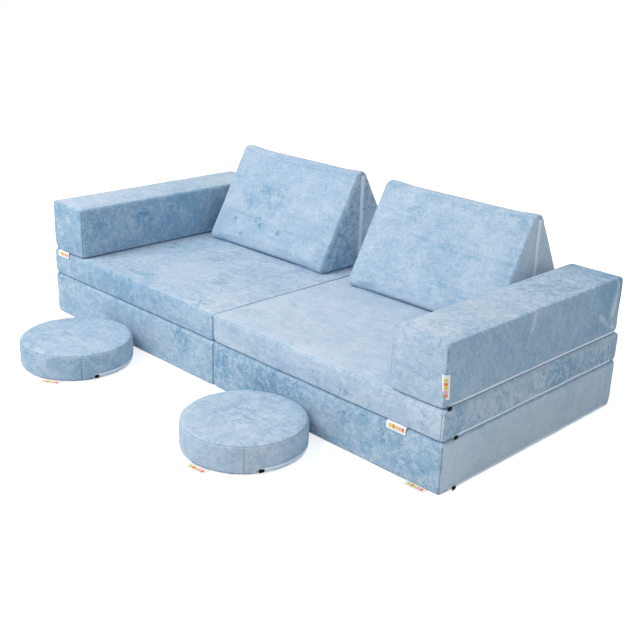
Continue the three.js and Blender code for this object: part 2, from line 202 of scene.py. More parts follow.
def block_seams(co, low, high, front_shift=0):
    """Signed distances (m) to a block's seams, round its bottom panel and up its four corners, and how far
    the corner seams show: 0 beyond their ends, 1 along them and nearly 2 at their puckered top ends.
    front_shift moves the front right corner's seam onto the front."""
    edge_band = 30 * mm
    pucker_drop, pucker_reach = 14 * mm, 9 * mm
    inset = np.minimum(co - np.array(low), np.array(high) - co)
    rise, from_top = co[:, 2] - low.z, high.z - co[:, 2]
    nearest = np.minimum(inset[:, 0], inset[:, 1])
    bottom = np.where(rise < edge_band, rise - nearest, rise)
    corner = inset[:, 0] - inset[:, 1]
    at_front_right = (co[:, 0] > (low.x + high.x) / 2) & (co[:, 1] < (low.y + high.y) / 2)
    corner = corner - np.where(at_front_right, front_shift, 0)
    shows = smooth_step(from_top, 6 * mm, 13 * mm) * smooth_step(rise, 0, 5 * mm)
    puckered = np.exp(-(((from_top - pucker_drop) / pucker_reach) ** 2))
    return bottom, corner, shows * (nearest < edge_band) * (1 + 0.9 * puckered)


def held_edges(co, low, high):
    """How firmly the foam's edges hold the cover: 1 near an edge, and nothing further into a face."""
    held_to, free_from = 12 * mm, 30 * mm
    inset = np.sort(np.minimum(co - np.array(low), np.array(high) - co), axis=1)
    return 1 - smooth_step(inset[:, 1], held_to, free_from)


def draw_in(made, low, high, along_sides, at_corners):
    """Pulls the sides in towards the bottom seam, a little along the sides and more at the corners."""
    co = points_of(made)
    middle = (np.array(low) + np.array(high)) / 2
    rise = co[:, 2] - low.z
    pulled_height = 26 * mm
    share = np.clip(1 - rise / pulled_height, 0, 1) ** 2
    inset = np.minimum(co - np.array(low), np.array(high) - co)
    for axis in (0, 1):
        corner = np.exp(-np.clip(inset[:, 1 - axis], 0, None) / seam_pull)
        near = 1 - smooth_step(inset[:, axis], 10 * mm, 40 * mm)
        pull = (along_sides + (at_corners - along_sides) * corner) * share * near
        co[:, axis] -= np.sign(co[:, axis] - middle[axis]) * pull
    set_points(made, co)


def sew(made, bottom, corner, shows, depth, seed):
    """Draws the cover in along its seams, with small puckers, and keeps the distances for the velour."""
    co, no = points_of(made), points_of(made, "normal")
    groove, by_seam = (
        np.maximum(np.exp(-((bottom / width) ** 2)), np.exp(-((corner / width) ** 2)) * shows)
        for width in (seam_groove, seam_pull)
    )
    pucker_share = 0.55
    pucker = noise_at(co, (pucker_size,) * 3, seed)
    drawn = groove * depth + pucker_share * depth * by_seam * np.abs(pucker)
    set_points(made, co - no * drawn[:, None])
    keep(made, "seam", np.stack([bottom, corner, shows], 1))


def make_bed(made, low, high, side):
    """Sets the cover back a little where a zip runs along an end, near its bottom edge."""
    co, no = points_of(made), points_of(made, "normal")
    inset = np.minimum(co[:, 1] - low.y, high.y - co[:, 1])
    beside = 1 - smooth_step(np.abs(co[:, 2] - low.z - zip_rise), narrow_tape, narrow_tape + zip_bed_fade)
    beside = beside * smooth_step(inset, 8 * mm, 16 * mm) * (no[:, 0] * side > 0.5)
    co[:, 0] -= side * zip_bed * beside
    set_points(made, co)


def wander(made, amount, size, seed):
    """A slight unevenness in the faces, as a soft cover has over cut foam."""
    co, no = points_of(made), points_of(made, "normal")
    finer_share, finer_amount = 0.42, 0.45
    out = noise_at(co, size, seed) + finer_amount * noise_at(co, np.asarray(size) * finer_share, seed + 11)
    set_points(made, co + no * (amount * out)[:, None])


def loosen(made, low, amount, seed):
    """Lets the cover hang a little unevenly just above its bottom seam."""
    co, no = points_of(made), points_of(made, "normal")
    rise = co[:, 2] - low.z
    band = smooth_step(rise, 0, 6 * mm) * (1 - smooth_step(rise, 10 * mm, 38 * mm))
    level = np.array([1, 1, 0])
    wave = 75 * mm
    out = noise_at(co * level, (wave, wave, 1), seed + 21) * amount
    set_points(made, co + no * level * (band * out)[:, None])


def fold(made, folds):
    """Presses soft folds in. Each is (start, end, width, depth, tone), in mm: a groove where depth is above
    0, a ridge below. Gives back the tone that they add to the pile: painted shade in most grooves, painted
    highlights on the ridges, and painted shade alone where depth is 0."""
    co, no = points_of(made), points_of(made, "normal")
    press, tone = np.zeros(len(co)), np.zeros(len(co))
    bend_size, bend_by = 70 * mm, 1.2 * mm
    for start, end, width, depth, shade in folds:
        a, b = np.array(start) * mm, np.array(end) * mm
        along = np.clip((co - a) @ (b - a) / ((b - a) @ (b - a)), 0, 1)
        bend = noise_at(co, (bend_size,) * 3, len(folds) + start[0] * 0.01) * bend_by
        far = np.linalg.norm(co - a - along[:, None] * (b - a), axis=1) + bend
        near = np.exp(-((far / (width * mm)) ** 2)) * np.sin(math.pi * np.clip(along, 0.03, 0.97)) ** 0.6
        press += depth * mm * near
        tone += shade * near
    set_points(made, co - no * press[:, None])
    return tone


def lie_flat(made, axis, side, level, footprints=None):
    """Keeps the cover on its own side of a plane that it rests on, or that rests on it."""
    co = points_of(made)
    over = np.maximum(0, (co[:, axis] - level) * side)
    share = np.ones(len(co))
    if footprints is not None:
        share[:] = 0
        sides = [other for other in range(3) if other != axis]
        for low, high in footprints:
            edge = np.minimum(co - np.array(low), np.array(high) - co)[:, sides].min(axis=1)
            share = np.maximum(share, smooth_step(edge, -40 * mm, -4 * mm))
    co[:, axis] -= side * over * share
    set_points(made, co)


def brush(made, nap_and_shade_by_face, rubbed, marks, seed, extra=0, painted_rim_shade=0.0):
    """How the pile lies, with painted light and shade in the same tone. nap_and_shade_by_face, by face: above
    0 it looks paler, below 0 deeper, partly from the pile's direction and partly as painted light and shade
    for how the
    lamps fall on that face. rubbed, by face: 0 is smooth, 0.3 has a few crushed spots and 0.5 is half
    covered. marks are (x, y, z, radius, rubbed, tone), in mm; some marks paint shadows, highlights and a
    falloff of light.
    extra is the folds' tone, mostly painted shade and highlights. painted_rim_shade is painted shade along
    the rounded edges."""
    co, no = points_of(made), points_of(made, "normal")
    rounded = smooth_step(1 - np.abs(no).max(axis=1), 0.06, 0.26)
    tone, rub = extra + painted_rim_shade * rounded, np.zeros(len(no))
    directions = {"+x": (0, 1), "-x": (0, -1), "+y": (1, 1), "-y": (1, -1), "+z": (2, 1), "-z": (2, -1)}
    for face, (axis, side) in directions.items():
        facing = np.clip(no[:, axis] * side, 0, 1) ** 2
        tone += nap_and_shade_by_face.get(face, 0) * facing
        rub += rubbed.get(face, 0.25) * facing
    for x, y, z, radius, rubbing, shade in marks:
        far = np.linalg.norm(co - np.array([x, y, z]) * mm, axis=1) / (radius * mm)
        near = np.exp(-(far**3))
        rub += rubbing * near
        tone += shade * near
    keep(made, "nap_and_painted_light", tone)
    keep(made, "rub", rub)
    keep(made, "lot", np.full(len(no), seed * 0.37))


def linear(hex_value):
    """An sRGB hex colour as the linear RGBA that the shaders take."""
    channels = [int(hex_value[i : i + 2], 16) / 255 for i in (1, 3, 5)]
    return (*[c / 12.92 if c <= 0.04045 else ((c + 0.055) / 1.055) ** 2.4 for c in channels], 1)


def add(tree, kind, **given):
    """Adds a node. given holds its settings, and its inputs by name, with _ for a space, or by number after
    in. An input takes a value, a socket, or a node, which gives its first output."""
    node = tree.nodes.new("ShaderNode" + kind)
    for name, value in given.items():
        if hasattr(node, name):
            setattr(node, name, value)
            continue
        socket = node.inputs[int(name[2:]) if name[2:].isdigit() else name.replace("_", " ")]
        if isinstance(value, bpy.types.Node):
            value = value.outputs[0]
        if isinstance(value, bpy.types.NodeSocket):
            tree.links.new(value, socket)
        else:
            socket.default_value = value
    return node


def start_material(name, **values):
    """A material whose shader has these values. Gives back its node tree and its shader as well."""
    material = bpy.data.materials.new(name)
    material.use_nodes = True
    shader = material.node_tree.nodes["Principled BSDF"]
    for key, value in values.items():
        shader.inputs[key.replace("_", " ")].default_value = value
    return material, material.node_tree, shader


# Velour: knitted polyester with a 1 mm cut pile. Brushed one way it looks pale and the other way deep, in
# soft clouds and short strokes. Where it was pressed it shows crushed spots, 5 to 30 mm across. Each
# cushion's pile also carries painted light and shade in its tone: by face, along the rounded edges, in folds
# and at a few spots.
pile_deepest = "#6f9abb"
pile_deep = "#8badc8"
pile_mid = "#b0c5d8"
pile_pale = "#cedae8"
cloud_size = 111.111 * mm
patch_size = 29.4118 * mm
crumple_size = 20.8333 * mm
crease_spacing = 76.9231 * mm
stroke_size = (45.4545 * mm, 8.33333 * mm, 12.5 * mm)
# The pile's own tufts are 0.3 mm; they are drawn ten times as coarse so that the grain shows.
tuft_size = (5.26316 * mm, 2.77778 * mm, 3.33333 * mm)


def make_velour():
    material, tree, shader = start_material(
        "cut-pile velour", Roughness=0.95, Specular_IOR_Level=0.12,
        Sheen_Weight=0.25, Sheen_Roughness=0.4, Sheen_Tint=linear("#e4eef8"),
    )
    lot, nap_and_painted_light, rub, seam = (
        add(tree, "Attribute", attribute_name=name).outputs for name in ("lot", "nap_and_painted_light", "rub", "seam")
    )
    lot, nap_and_painted_light, rub = lot["Fac"], nap_and_painted_light["Fac"], rub["Fac"]
    seam = add(tree, "SeparateXYZ", in0=seam["Vector"]).outputs
    shift = add(tree, "CombineXYZ", X=lot, Y=lot, Z=lot)
    place = add(tree, "TexCoord").outputs["Object"]
    place = add(tree, "VectorMath", operation="ADD", in0=place, in1=shift)

    per_stroke, per_tuft = ([1 / length for length in size] for size in (stroke_size, tuft_size))
    for_strokes = add(tree, "Mapping", Vector=place, Rotation=(0.2, 0.15, 0.3), Scale=per_stroke)
    for_tufts = add(tree, "Mapping", Vector=place, Rotation=(0.7, 0.2, 0.6), Scale=per_tuft)
    clouds, patches, strokes, crumple, creases, tufts = (
        add(tree, "TexNoise", Vector=at, Scale=scale, Detail=detail, Roughness=0.6, Distortion=distortion)
        for at, scale, detail, distortion in (
            (place, 1 / cloud_size, 2.0, 0.8), (place, 1 / patch_size, 5.0, 1.4),
            (for_strokes, 1.0, 4.0, 0.8), (place, 1 / crumple_size, 4.0, 1.8),
            (place, 1 / crease_spacing, 2.0, 2.6), (for_tufts, 1.0, 1.0, 0.3),
        )
    )
    soft = {"interpolation_type": "SMOOTHSTEP"}
    swept = add(tree, "MapRange", **soft, in0=patches, in1=0.47, in2=0.56)
    crease = add(tree, "Math", operation="SUBTRACT", in0=creases, in1=0.5)
    crease = add(tree, "Math", operation="ABSOLUTE", in0=crease)
    crease = add(tree, "MapRange", **soft, in0=crease, in1=0.016, in2=0.004)
    in_cloud = add(tree, "MapRange", **soft, in0=clouds, in1=0.48, in2=0.6)
    crease = add(tree, "Math", operation="MULTIPLY", in0=crease, in1=in_cloud)
    pressed = add(tree, "Math", operation="SUBTRACT", in0=rub, in1=0.65)
    pressed = add(tree, "Math", operation="MULTIPLY_ADD", in0=crumple, in1=1.3, in2=pressed)
    pressed = add(tree, "MapRange", **soft, in0=pressed, in1=0.49, in2=0.57)
    beside = add(tree, "Math", operation="ABSOLUTE", in0=seam[1])
    # Painted highlight: the pile is paler in a band a few mm to each side of a corner seam, where its ridges
    # catch light.
    inner = add(tree, "MapRange", **soft, in0=beside, in1=0.8 * mm, in2=2.5 * mm)
    outer = add(tree, "MapRange", **soft, in0=beside, in1=6 * mm, in2=3 * mm)
    painted_seam_highlight = add(tree, "Math", operation="MULTIPLY", in0=inner, in1=outer)
    painted_seam_highlight = add(tree, "Math", operation="MULTIPLY", in0=painted_seam_highlight, in1=seam[2])
    uneven = add(tree, "Math", operation="SUBTRACT", in0=patches, in1=0.62)
    uneven = add(tree, "Math", operation="MULTIPLY_ADD", in0=swept, in1=0.25, in2=uneven)
    unrest = add(tree, "Math", operation="MULTIPLY_ADD", in0=rub, in1=0.55, in2=0.04)
    uneven = add(tree, "Math", operation="MULTIPLY", in0=uneven, in1=unrest)
    lay = add(tree, "Math", operation="ADD", in0=nap_and_painted_light, in1=0.05)
    lay = add(tree, "Math", operation="ADD", in0=lay, in1=uneven)
    for pattern, amount in (
        (clouds, 0.27), (strokes, 0.26), (tufts, 0.36), (pressed, -0.14), (crease, -0.06), (painted_seam_highlight, 0.03),
    ):
        lay = add(tree, "Math", operation="MULTIPLY_ADD", in0=pattern, in1=amount, in2=lay)
    ramp = add(tree, "ValToRGB", Fac=lay)
    ends = ramp.color_ramp.elements
    ends[0].position, ends[0].color = 0.18, linear(pile_deepest)
    ends[1].position, ends[1].color = 0.72, linear(pile_pale)
    for position, tint in ((0.34, pile_deep), (0.51, pile_mid)):
        ends.new(position).color = linear(tint)

    at_foot = add(tree, "Math", operation="ABSOLUTE", in0=seam[0])
    at_foot = add(tree, "MapRange", **soft, in0=at_foot, in1=4 * mm, in2=1 * mm)
    at_corner = add(tree, "MapRange", **soft, in0=beside, in1=1.6 * mm, in2=0.0)
    at_corner = add(tree, "Math", operation="MULTIPLY", in0=at_corner, in1=seam[2])
    line = add(tree, "Math", operation="MAXIMUM", in0=at_foot, in1=at_corner)
    foot_shade = add(tree, "Math", operation="MULTIPLY", in0=at_foot, in1=0.9)
    corner_shade = add(tree, "Math", operation="MULTIPLY", in0=at_corner, in1=0.35)
    depth = add(tree, "Math", operation="MAXIMUM", in0=foot_shade, in1=corner_shade)
    shade = {"data_type": "RGBA", "blend_type": "MULTIPLY"}
    shade = add(tree, "Mix", **shade, in0=depth, in6=ramp, in7=linear("#5f7c96"))
    tree.links.new(shade.outputs[2], shader.inputs["Base Color"])
    relief = add(tree, "Bump", Height=tufts, Strength=0.3, Distance=0.7 * mm)
    relief = add(tree, "Bump", Height=patches, Strength=0.3, Distance=1.2 * mm, Normal=relief)
    relief = add(tree, "Bump", invert=True, Height=pressed, Strength=0.5, Distance=0.6 * mm, Normal=relief)
    relief = add(tree, "Bump", invert=True, Height=line, Strength=0.8, Distance=1.4 * mm, Normal=relief)
    tree.links.new(relief.outputs[0], shader.inputs["Normal"])
    return material


velour = make_velour()


def dress(made, body, node, material, angle=None):
    """Gives a finished piece its material and joins it to its body. angle keeps sharper edges sharp."""
    made.data.materials.clear()
    made.data.materials.append(material)
    pick(made)
    if angle is None:
        bpy.ops.object.shade_smooth()
    else:
        bpy.ops.object.shade_smooth_by_angle(angle=math.radians(angle))
    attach(made, body)
    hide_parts(node)


def cover_block(
    name, low, high, outer, seed, radius_of, folds, step, slack, swell, uneven, at_corners, hang,
    front_shift=0, front_seam=1.0,
):
    """A block's cover, swollen, sewn, drawn in and folded, with its zip's bed on the outer side (1 or -1).
    front_seam is how far the front right corner's seam shows. Gives back the folds' painted shade and
    highlights as well."""
    made = add_block(name + "_velour_cover", low, high)
    round_edges(made, radius_of)
    for axis in range(3):
        cut_loops(made, axis, step)
    swell_cover(made, 2, slack, swell, held_edges(points_of(made), low, high))
    finish(made, "SUBSURF", levels=1, render_levels=1)
    wander(made, *uneven, seed)
    co = points_of(made)
    bottom, corner, shows = block_seams(co, low, high, front_shift)
    front_right = (co[:, 0] > (low.x + high.x) / 2) & (co[:, 1] < (low.y + high.y) / 2)
    sew(made, bottom, corner, shows * np.where(front_right, front_seam, 1), seam_depth, seed)
    draw_in(made, low, high, drawn_in, at_corners)
    loosen(made, low, hang, seed)
    make_bed(made, low, high, outer)
    return made, fold(made, folds)


def mattress_half(
    half, outer, seed, over, under, pressed_by, nap_and_shade_by_face, rubbed, marks=(), folds=(), front_shift=0
):
    """One half of a mattress, which lies between the levels under and over. outer is the side (1 or -1) of
    its free end, and pressed_by the boxes of what stands on it."""
    low, high = (corner.copy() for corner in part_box(half + "_cover"))
    hinge_x = low.x if outer > 0 else high.x
    if outer > 0:
        high.x += end_reach
    else:
        low.x -= end_reach

    def radius_of(middle, axis):
        if abs(middle.x - hinge_x) < 1 * mm:
            return hinge_round
        if axis != 2 and middle.z < low.z + 1 * mm:
            return foot_edge_round
        if axis == 2 and middle.y > high.y - 1 * mm:
            return 1.5 * corner_round
        return corner_round if axis == 2 else top_round

    made, folded = cover_block(
        half, low, high, outer, seed, radius_of, folds, step=loop_step, slack=0.004, swell=mattress_swell,
        uneven=(0.8 * mm, (150 * mm, 110 * mm, 90 * mm)), at_corners=3 * mm, hang=1.6 * mm,
        front_shift=front_shift,
    )
    lie_flat(made, 2, -1, under)
    lie_flat(made, 2, 1, over, pressed_by)
    lie_flat(made, 0, -outer, hinge_x)
    brush(made, nap_and_shade_by_face, rubbed, marks, seed, folded, -0.09)
    dress(made, half, half + "_cover", velour)


floor_level = 0.0
base_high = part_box("base_right_cover")[1]
seat_low, seat_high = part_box("seat_right_cover")
# Painted shade: the outer end grows deeper towards the back (the mark at 754, 440), as the light falls off
# there.
mattress_half(
    "base_right", 1, 3, base_high.z, floor_level, None,
    {"-y": -0.06, "+x": 0.08}, {"-y": 0.4, "+x": 0.05},
    marks=[(30, -215, 90, 55, 0.14, -0.03), (190, -215, 70, 60, 0.1, -0.03), (400, -215, 55, 60, -0.1, 0.06),
           (530, -215, 90, 60, 0, -0.03), (754, 440, 60, 170, 0, -0.06)],
)
mattress_half(
    "base_left", -1, 4, base_high.z, floor_level, None,
    {"-y": -0.05, "+x": 0.0}, {"-y": 0.26},
    marks=[(-728, -215, 108, 22, 0.3, -0.02), (-130, -215, 92, 38, 0.3, -0.02), (-40, -215, 40, 40, 0.1, 0)],
    folds=[((-26, -215, 112), (-6, -215, 84), 7, 2.2, -0.06),
           ((-14, -215, 118), (-3, -215, 100), 4, 1.5, -0.08)],
)

# The seat mattress: two halves like the base's, 75 mm thick, which lie on the base.
# The arms and backs press its top flat where they stand, and it crowns a little between them.
on_seat = [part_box(name + "_cover") for name in ("arm_left", "arm_right", "back_left", "back_right")]
crease_steps = range(0, 6 * 22, 22)
# Painted shade and light: the broad dark band on the top beside the right arm (the fold at x 575) is the
# arm's painted shadow; the creases on the outer end get painted shade and their ridges painted highlights;
# the top is darker towards the back (the mark at 180, 260).
mattress_half(
    "seat_right", 1, 5, seat_high.z, seat_low.z, on_seat,
    {"+z": 0.09, "-y": 0.03, "+x": -0.02}, {"+z": 0.16, "-y": 0.24, "+x": 0.4},
    marks=[(88, -8, 200, 14, 0.5, -0.02), (385, -215, 158, 34, 0.2, 0), (470, -215, 150, 26, 0.25, -0.02),
           (754, 170, 165, 60, 0.12, 0.06), (754, 250, 165, 50, 0.1, -0.05), (690, -215, 160, 30, 0.2, 0),
           (754, -180, 165, 45, 0, -0.08), (350, -215, 165, 70, 0, 0.06), (180, 260, 200, 130, 0, -0.08)],
    folds=[((754, 330 + y, 178), (754, 298 + y, 138), 4, 2.2, -0.2) for y in crease_steps]
    + [((754, 341 + y, 176), (754, 311 + y, 142), 4, -0.8, 0.08) for y in crease_steps]
    + [((575, -215, 200), (575, 150, 200), 42, 0, -0.15),
       ((700, -217, 140), (520, -217, 132), 5, 0.6, -0.06)],
    front_shift=9 * mm,
)
mattress_half(
    "seat_left", -1, 6, seat_high.z, seat_low.z, on_seat,
    {"+z": 0.02, "-y": -0.09}, {"+z": 0.36, "-y": 0.3},
    marks=[(-60, -165, 200, 70, 0, 0.12), (-94, -184, 200, 30, 0.2, -0.03), (-350, -215, 165, 110, 0, -0.05),
           (-500, 100, 200, 70, 0, -0.06), (-555, 65, 200, 30, 0.2, -0.02), (-357, 79, 200, 26, 0.2, -0.02),
           (-320, -60, 200, 90, -0.2, 0.05), (-180, -40, 200, 25, 0.2, 0)],
    folds=[((-520, -150, 200), (-330, -176, 200), 8, 1.2, -0.04),
           ((-430, -120, 200), (-260, -150, 200), 9, 1.0, 0.03),
           ((-330, -160, 200), (-150, -178, 200), 8, 1.2, -0.03),
           ((-250, -70, 200), (-60, -110, 200), 10, 1.0, 0.03)],
)

# The arms: square foam blocks as long as the seat is deep, covered like the mattresses, which stand on
# the seat's two ends.
arm_swell = 2 * mm
arm_top_round = 10 * mm


def arm(name, seed, nap_and_shade_by_face, rubbed, marks=(), folds=(), front_seam=1.0):
    low, high = (corner.copy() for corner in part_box(name + "_cover"))
    low += Vector((0.5 * mm, 0, 0))
    high -= Vector((0.5 * mm, 4 * mm, 1 * mm))
    outer = 1 if low.x > 0 else -1

    def radius_of(middle, axis):
        if axis != 2 and middle.z < low.z + 1 * mm:
            return foot_edge_round
        if middle.y > high.y - 1 * mm:
            return 1.5 * arm_top_round
        return corner_round if axis == 2 else arm_top_round

    made, folded = cover_block(
        name, low, high, outer, seed, radius_of, folds, step=7 * mm, slack=0.005, swell=arm_swell,
        uneven=(0.9 * mm, (90 * mm, 120 * mm, 80 * mm)), at_corners=3.5 * mm, hang=2.2 * mm,
        front_seam=front_seam,
    )
    lie_flat(made, 2, -1, low.z)
    brush(made, nap_and_shade_by_face, rubbed, marks, seed, folded, -0.08)
    dress(made, name, name + "_cover", velour)


arm(
    "arm_left", 7, {"+x": -0.08, "+z": 0.05, "-y": -0.11}, {"+x": 0.32, "+z": 0.28, "-y": 0.3},
    marks=[(-600, -150, 290, 36, 0.2, -0.02), (-600, 0, 290, 34, 0.25, -0.03), (-600, -34, 262, 24, 0, 0.06),
           (-663, -215, 300, 16, -0.1, 0.06), (-714, -215, 290, 20, 0, 0.06),
           (-600, 120, 270, 130, 0, -0.06)],
)
# Painted light and shade: the top is paler at the front (the mark at 640, -150) and deeper towards the back,
# as is the outer face (marks at 675, 450 and 750, 400); the back folds' ridges get painted highlights; a dark
# dot of painted shade marks the pucker atop the front left corner seam, and a thin line of painted shade runs
# up the front left edge (the fold at x 599).
arm(
    "arm_right", 8, {"+x": -0.08, "-x": -0.06, "+z": 0.02, "-y": -0.01}, {"+x": 0.12, "+z": 0.36, "-y": 0.24},
    marks=[(640, -150, 348, 60, 0, 0.07), (680, 250, 348, 90, 0.1, -0.02), (675, 450, 348, 100, 0, -0.08),
           (598, -214, 342, 4, 0, -0.4), (750, 400, 270, 90, 0.1, -0.08), (750, 130, 260, 70, 0, -0.04)],
    folds=[((750, 96, 350), (750, 66, 275), 6, -0.5, 0.32), ((750, 152, 254), (750, 165, 226), 4, -0.5, 0.26),
           ((750, 449, 322), (750, 431, 248), 11, -1.2, 0.44),
           ((750, 372, 272), (750, 402, 250), 8, -0.9, 0.38),
           ((750, 392, 256), (750, 427, 229), 6, -0.9, 0.38),
           ((750, 438, 230), (750, 457, 221), 6, -0.6, 0.4),
           ((750, 448, 351), (750, 457, 316), 4.5, -0.8, 0.36),
           ((750, 462, 352), (750, 476, 230), 5, 1.8, -0.14),
           ((700, 470, 347), (750, 470, 330), 6, 1.2, 0.06),
           ((599, -215, 206), (599, -215, 342), 3, 0, -0.3)],
    front_seam=0.3,
)

# The backs: triangular foam wedges with a rounded ridge, in covers sewn from one wrapped panel and two ends.
# The right-hand end is split by an upright zip.
back_end_swell = 1.5 * mm
ridge_round = 24 * mm
foot_round = 16 * mm
back_end_round = 6 * mm
back_seam_depth = 2 * mm
wide_tape = 6.3 * mm
zip_over = 21 * mm


def wedge_slope(low, high, ridge, foot):
    """A wedge's middle in Y, and how steep its two faces are so that they touch its round ridge and feet."""
    run = (high.y - low.y) / 2 - foot
    climb = high.z - low.z - ridge - foot
    slope = math.atan2(climb, run) + math.asin((ridge - foot) / math.hypot(run, climb))
    return (high.y + low.y) / 2, slope


def wedge_form(name, low, high, ridge, foot, end_round):
    """A triangular prism along X: a block cut along two slopes, its ridge, feet and ends rounded."""
    made = add_block(name, low, high)
    middle_y, slope = wedge_slope(low, high, ridge, foot)
    out_y, out_z = math.sin(slope), math.cos(slope)
    for side in (-1, 1):
        on_slope = (0, middle_y + side * ridge * out_y, high.z - ridge + ridge * out_z)
        facing = (0, side * out_y, out_z)
        edit(made, bpy.ops.mesh.bisect, plane_co=on_slope, plane_no=facing, use_fill=True, clear_outer=True)

    def radius_of(middle, axis):
        if axis != 0 or abs(middle.x - low.x) < 1 * mm or abs(middle.x - high.x) < 1 * mm:
            return 0
        if middle.z > high.z - 1 * mm:
            return ridge * math.tan(slope / 2)
        if middle.z < low.z + 1 * mm:
            return foot
        return foot * math.tan((math.pi / 2 - slope) / 2)

    round_edges(made, radius_of, 5)
    edit(made, bpy.ops.mesh.remove_doubles, threshold=0.5 * mm)
    edit(made, bpy.ops.mesh.normals_make_consistent, inside=False)
    finish(
        made, "BEVEL", width=end_round, segments=4, limit_method="ANGLE", angle_limit=math.radians(60),
        use_clamp_overlap=False,
    )
    return made


def weave(made, size):
    """Remakes the surface in even squares of one size, laid back onto the form."""
    form = made.copy()
    form.data = made.data.copy()
    bpy.context.scene.collection.objects.link(form)
    finish(made, "REMESH", mode="VOXEL", voxel_size=size)
    finish(made, "SHRINKWRAP", target=form, wrap_method="NEAREST_SURFACEPOINT")
    bpy.data.objects.remove(form)


def back(name, seed, nap_and_shade_by_face, rubbed, marks=(), folds=()):
    low, high = (corner.copy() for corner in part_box(name + "_cover"))
    low.x += back_end_swell
    high.x -= back_end_swell
    made = wedge_form(name + "_velour_cover", low, high, ridge_round, foot_round, back_end_round)
    weave(made, 7 * mm)
    middle_y, slope = wedge_slope(low, high, ridge_round, foot_round)
    out_y, out_z = math.sin(slope), math.cos(slope)

    def seams(co):
        """Signed distance (m) to the seam round the nearer end."""
        end = np.minimum(co[:, 0] - low.x, high.x - co[:, 0])
        aside, over_ridge = np.abs(co[:, 1] - middle_y), co[:, 2] - (high.z - ridge_round)
        under_slope = np.maximum(-(over_ridge * out_z + aside * out_y - ridge_round), 0)
        inset = np.minimum(np.minimum(under_slope, co[:, 2] - low.z), (high.y - low.y) / 2 - aside)
        in_ridge = np.maximum(ridge_round - np.hypot(aside, over_ridge), 0)
        return end - np.where(over_ridge > 0, np.minimum(inset, in_ridge), inset)

    co = points_of(made)
    held = 1 - smooth_step(np.abs(seams(co)), 10 * mm, 26 * mm)
    by_zip = (1 - smooth_step(np.abs(co[:, 1] - middle_y), 7 * mm, 24 * mm)) * (co[:, 0] > high.x - 15 * mm)
    swell_cover(made, 2, 0.005, 4 * mm, np.maximum(held, by_zip))
    finish(made, "SUBSURF", levels=1, render_levels=1)
    wander(made, 0.9 * mm, (160 * mm, 90 * mm, 70 * mm), seed)
    co = points_of(made)
    far_away, half_shown = np.full(len(co), 1.0), np.full(len(co), 0.5)
    sew(made, far_away, seams(co), half_shown, back_seam_depth, seed)
    co, zip_top = points_of(made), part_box(name + "_zip")[1].z + zip_over
    bed = 1 - smooth_step(np.abs(co[:, 1] - middle_y), wide_tape, wide_tape + zip_bed_fade)
    bed = bed * smooth_step(zip_top + 4 * mm - co[:, 2], 0, 6 * mm) * (co[:, 0] > high.x - 6 * mm)
    co[:, 0] -= zip_bed * bed
    set_points(made, co)
    folded = fold(made, folds)
    lie_flat(made, 2, -1, low.z)
    brush(made, nap_and_shade_by_face, rubbed, marks, seed, folded, -0.1)
    dress(made, name, name + "_cover", velour)


# The dark dot at the top of the zip (the mark at -48, 380, 476) is painted shade under the seam's pucker.
back(
    "back_left", 9, {"-y": 0.01, "+x": 0.05}, {"-y": 0.06, "+x": 0.5, "+z": 0.1},
    marks=[(-455, 252, 277, 12, 0.8, -0.02), (-413, 232, 241, 12, 0.8, -0.02),
           (-370, 260, 290, 11, 0.7, -0.02), (-352, 262, 296, 10, 0.7, -0.02),
           (-348, 252, 277, 10, 0.7, -0.02), (-263, 249, 272, 10, 0.8, -0.02),
           (-383, 306, 375, 26, 0.4, -0.03), (-419, 282, 331, 26, 0.4, -0.03),
           (-329, 299, 362, 48, 0.3, -0.04), (-121, 245, 265, 12, 0.5, 0),
           (-48, 300, 300, 60, 0, -0.05), (-48, 450, 300, 60, -0.3, 0.06), (-48, 380, 476, 4, 0, -0.4)],
    folds=[((-500, 262, 300), (-350, 262, 300), 5, 0.8, -0.03),
           ((-330, 256, 286), (-110, 256, 286), 5, 0.8, -0.03)],
)
# The dark dot at the top of the zip (the mark at 559, 374, 476) is painted shade under the seam's pucker.
back(
    "back_right", 10, {"-y": 0.02, "+x": 0.12}, {"-y": 0.12, "+x": 0.15, "+z": 0.2},
    marks=[(559, 374, 476, 4, 0, -0.4), (338, 235, 257, 18, 0.35, -0.02), (200, 330, 430, 40, 0.2, -0.02),
           (510, 350, 470, 40, 0.15, -0.02)],
    folds=[((180, 297, 370), (360, 296, 367), 5, 1.2, -0.06),
           ((240, 292, 361), (520, 290, 356), 5, 1.2, -0.06),
           ((400, 296, 368), (600, 294, 363), 5, 1.0, -0.05),
           ((300, 304, 382), (470, 302, 378), 6, -0.8, 0.04)],
)

# The rounds: flat foam discs. A top and a bottom disc of velour are sewn to a side strip, which closes in
# one upright seam, and the zip lies in half of the bottom seam.
round_swell = 1 * mm
round_places = {"round_left": -28, "round_right": -41}
round_foot = 7 * mm
round_zip_turn = math.radians(12)
round_zip_sweep = math.radians(180)
round_zip_bed = 1.5 * mm


def polar(co, centre, zero=0.0):
    """Each point's distance from an upright axis, and its turn about it from zero, from -pi to pi."""
    x, y = co[:, 0] - centre.x, co[:, 1] - centre.y
    return np.hypot(x, y), (np.arctan2(y, x) - zero + math.pi) % (2 * math.pi) - math.pi


